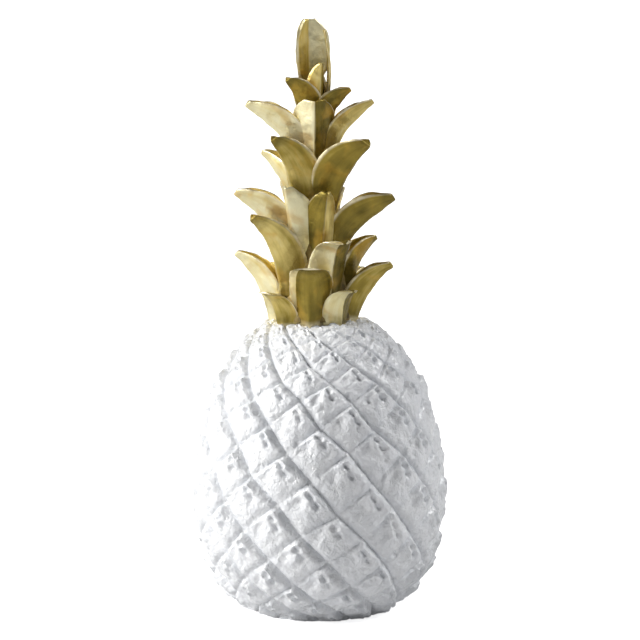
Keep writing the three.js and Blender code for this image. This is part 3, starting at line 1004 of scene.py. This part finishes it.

# %% [markdown]
# ## White paint
# The fruit is brushed with a satin white that is a little thinner in places. A cool grey is
# painted into the grooves and into the slits under the bracts, as dust and as painted shade.
# Ambient occlusion could find those, but a mask by place is sharper and lasts through an
# export, so the two masks marked on the mesh are used. Small wrinkles catch bright
# highlights: the bump is strong but fine, and a thin coat adds the sheen.

# %% White paint
white_paint, tree, shader = finish("white paint", coat=0.25)
mottle = painted_surface(tree, shader, brush_size=190, grain_size=480, grain_depth=0.8,
                         bump=1.0, distance=1.1 * MM, rough=(0.2, 0.38))
white = blend(tree, (0.9, 0.91, 0.92), (0.76, 0.78, 0.82), mottle)
# grooves and slits get a cool grey that is dust and also painted shade
dust_and_shade_mask = combine(tree, "MAXIMUM", mask(tree, "groove"), mask(tree, "pit"))
dust_and_shade_colour = darken_recesses(tree, white, (0.52, 0.55, 0.6), dust_and_shade_mask, 0.35, mottle)
feed(tree, shader.inputs["Base Color"], dust_and_shade_colour)
dress(fruit_body, white_paint)
print("white paint on", fruit_body.name)

# %% [markdown]
# ## Gold paint
# The leaves are brushed with an antique gold in three steps, and so is the material. First
# the masks: what lies near a margin, at the keel, the root, the tip or the cut end is read
# from the leaf's own UV map, which says how far across the blade and along it a place is.
# Object coordinates couldn't tell the root of one leaf from the tip of the one below.

# %% Gold paint: where it is pale and where it is dark
MARGIN, KEEL = (0.42, 0.47), (0.035, 0.0)
ROOT, FOOT, TIP, LIP = (0.52, 0.12), (0.16, 0.04), (0.78, 0.96), (0.965, 0.985)

gold_paint, tree, shader = finish("gold paint", metallic=0.65)
mottle = painted_surface(tree, shader, brush_size=140, grain_size=700, grain_depth=0.5,
                         bump=0.5, distance=0.8 * MM, rough=(0.34, 0.5))
blade_uv = add(tree, "ShaderNodeUVMap").outputs["UV"]
apart = add(tree, "ShaderNodeSeparateXYZ", {"Vector": blade_uv})
over, along = apart.outputs["X"], apart.outputs["Y"]
from_keel = combine(tree, "ABSOLUTE", combine(tree, "SUBTRACT", over, 0.5), 0)
# margins and keels are rubbed pale, which also paints highlights along them
margin = ramp(tree, from_keel, *MARGIN)
keel = ramp(tree, from_keel, *KEEL)
keel = combine(tree, "MULTIPLY", keel, ramp(tree, mask(tree, "split"), 0.3, 0.4))
# roots: painted shade where they go in behind the leaves below
root_shade = ramp(tree, along, *ROOT, 0.0, 0.85)
# dark tips; under a rolled cut end this is a painted shadow
tip_shade = combine(tree, "MULTIPLY", ramp(tree, along, *TIP), mask(tree, "dark_tip"))
trough = combine(tree, "MULTIPLY", mask(tree, "inward"), 0.3)
recess = combine(tree, "MAXIMUM", combine(tree, "MAXIMUM", root_shade, tip_shade), trough)
# a thin painted highlight along a rolled cut end
lip = combine(tree, "MULTIPLY", ramp(tree, along, *LIP), mask(tree, "lip"))
foot = combine(tree, "MULTIPLY", ramp(tree, along, *FOOT), mask(tree, "in_neck"))
print("masks ready")

# %% [markdown]
# Then the tone. Each leaf says how pale its two sides are: light is painted on a side that
# faces the window and shade on a side turned away from it, and the change between them is
# quick, as where light stops at a keel. Long streaks and small patches move the tone up and
# down, and a colour ramp turns it into olive brown, gold or pale champagne.

# %% Gold paint: the painted light and shade of each side
UNEVEN = 0.6
SPLIT_SOFTNESS = 0.012
GOLD_STOPS = [
    (0, (0.13, 0.1, 0.01, 1)), (0.33, (0.38, 0.28, 0.045, 1)),
    (0.62, (0.82, 0.66, 0.23, 1)), (1, (1, 0.93, 0.6, 1)),
]

stretched = add(tree, "ShaderNodeMapping", {"Vector": blade_uv, "Scale": (9, 1.2, 1)})
where = add(tree, "ShaderNodeTexCoord").outputs["Object"]
streaks = noise(tree, stretched.outputs["Vector"], 1, 3, Distortion=0.4)
patches = noise(tree, where, 110, 2)
brushed = combine(tree, "ADD", combine(tree, "MULTIPLY", streaks, UNEVEN),
                  combine(tree, "MULTIPLY", patches, UNEVEN))
# one side is painted light and the other painted shade, changing at the leaf's split
past_split = combine(tree, "SUBTRACT", over, mask(tree, "split"))
share_past_split = ramp(tree, past_split, -SPLIT_SOFTNESS, SPLIT_SOFTNESS)
side = blend(tree, mask(tree, "light_and_shade_one_side"), mask(tree, "light_and_shade_other_side"), share_past_split, "FLOAT")
tone = combine(tree, "ADD", side, combine(tree, "SUBTRACT", brushed, UNEVEN))
gold = add(tree, "ShaderNodeValToRGB", {"Fac": tone})
for place, colour in GOLD_STOPS[1:-1]:
    gold.color_ramp.elements.new(place)
for stop, (place, colour) in zip(gold.color_ramp.elements, GOLD_STOPS):
    stop.position, stop.color = place, colour
print("tones ready")

# %% [markdown]
# Last come amber stains, then a dark colour in the recesses: painted shade at the roots,
# where they go in behind the leaves below, darker troughs and tips, and a painted shadow
# under each rolled cut end. Over all of it the margins and keels are rubbed pale, which also
# paints their highlights, less so where a tip is dark, and a few cut ends get a thin
# painted highlight.

# %% Gold paint: stains, dark recesses, rubbed edges and painted highlights
stains = ramp(tree, noise(tree, where, 85, 3, Distortion=0.6), 0.5, 0.68, 0.0, 0.45)
stained = blend(tree, gold.outputs["Color"], (0.72, 0.43, 0.06), stains)
# dark colour by the recess mask: painted shade at the roots and under rolled cut ends
glazed_and_shaded = darken_recesses(tree, stained, (0.12, 0.095, 0.015), recess, 0.9, mottle)
edges = combine(tree, "MAXIMUM", margin, combine(tree, "MULTIPLY", keel, 0.35))
edges = combine(tree, "MAXIMUM", edges, foot)
# rubbed pale margins, keels and neck feet, with painted highlights on margins and keels
wear_and_highlight = combine(tree, "MULTIPLY", edges, ramp(tree, mottle, 0.35, 0.6, 0.4, 0.95))
wear_and_highlight = combine(tree, "MULTIPLY", wear_and_highlight, ramp(tree, tip_shade, 0.4, 0.9, 1.0, 0.25))
worn_and_highlit = blend(tree, glazed_and_shaded, (0.95, 0.86, 0.6), combine(tree, "MAXIMUM", wear_and_highlight, lip))
feed(tree, shader.inputs["Base Color"], worn_and_highlit)
for leaf in leaves:
    dress(leaf, gold_paint)
print("gold paint on", len(leaves), "leaves")

# %% [markdown]
# ## Painted shade on the core
# The core lies deep between the roots. It could be given the leaves' gold, but it is painted
# dark instead: a painted shade that keeps the gaps of the crown deep.

# %% Painted shade on the core
core_painted_shade, tree, shader = finish("painted shade in the gaps", metallic=0.4)
mottle = painted_surface(tree, shader, brush_size=180, grain_size=700, grain_depth=0.6,
                         bump=0.6, distance=0.8 * MM, rough=(0.4, 0.6))
# nearly all of the core gets the dark colour, a painted shade for the gaps of the crown
glazed_and_shaded = darken_recesses(tree, (0.5, 0.36, 0.12), (0.07, 0.05, 0.012), 1, 1, mottle)
feed(tree, shader.inputs["Base Color"], glazed_and_shaded)
dress(core, core_painted_shade)
print("glaze on", core.name)

# %% [markdown]
# ## Rubber
# The stopper is matt black rubber with a faint bloom, the pale film that old rubber gets.
# A flat black would look like a hole, so two near blacks are mixed by the mottle.

# %% Rubber
rubber, tree, shader = finish("stopper rubber")
mottle = painted_surface(tree, shader, brush_size=200, grain_size=1500, grain_depth=0.8,
                         bump=0.25, distance=0.3 * MM, rough=(0.6, 0.8))
bloom = blend(tree, (0.018, 0.018, 0.02), (0.05, 0.05, 0.055), mottle)
feed(tree, shader.inputs["Base Color"], bloom)
dress(plug, rubber)
print("rubber on", plug.name)

# %% [markdown]
# ## The floor
# The floor is a wide pale sheet. A catalogue picture is printed on pure white, but a sheet
# as white as that would throw too much light up on the bank. So the sheet is a light grey
# and glows a little, and for rays that come straight from the camera it glows more.

# %% Floor
bpy.ops.mesh.primitive_circle_add(vertices=96, radius=9, fill_type="NGON")
floor = bpy.context.object
floor.name = "pale_floor"
floor_paint, tree, shader = finish("pale floor")
mottle = painted_surface(tree, shader, brush_size=3, grain_size=40, grain_depth=0.3,
                         bump=0.05, distance=1 * MM, rough=(0.75, 0.9))
pale = blend(tree, (0.68, 0.68, 0.68), (0.65, 0.65, 0.66), mottle)
feed(tree, shader.inputs["Base Color"], pale)
seen = add(tree, "ShaderNodeLightPath").outputs["Is Camera Ray"]
feed(tree, shader.inputs["Emission Strength"], ramp(tree, seen, 0, 1, 0.05, 0.8))
feed(tree, shader.inputs["Emission Color"], (1, 1, 1))
floor.data.materials.append(floor_paint)
print("floor ready")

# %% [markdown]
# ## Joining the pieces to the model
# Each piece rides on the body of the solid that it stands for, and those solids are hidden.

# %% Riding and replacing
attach(fruit_body, "bank")
for gilt in (core, *leaves):
    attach(gilt, "bank")
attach(plug, "stopper")
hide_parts("fruit_body")
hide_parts("crown_stalk")
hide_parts("stopper")
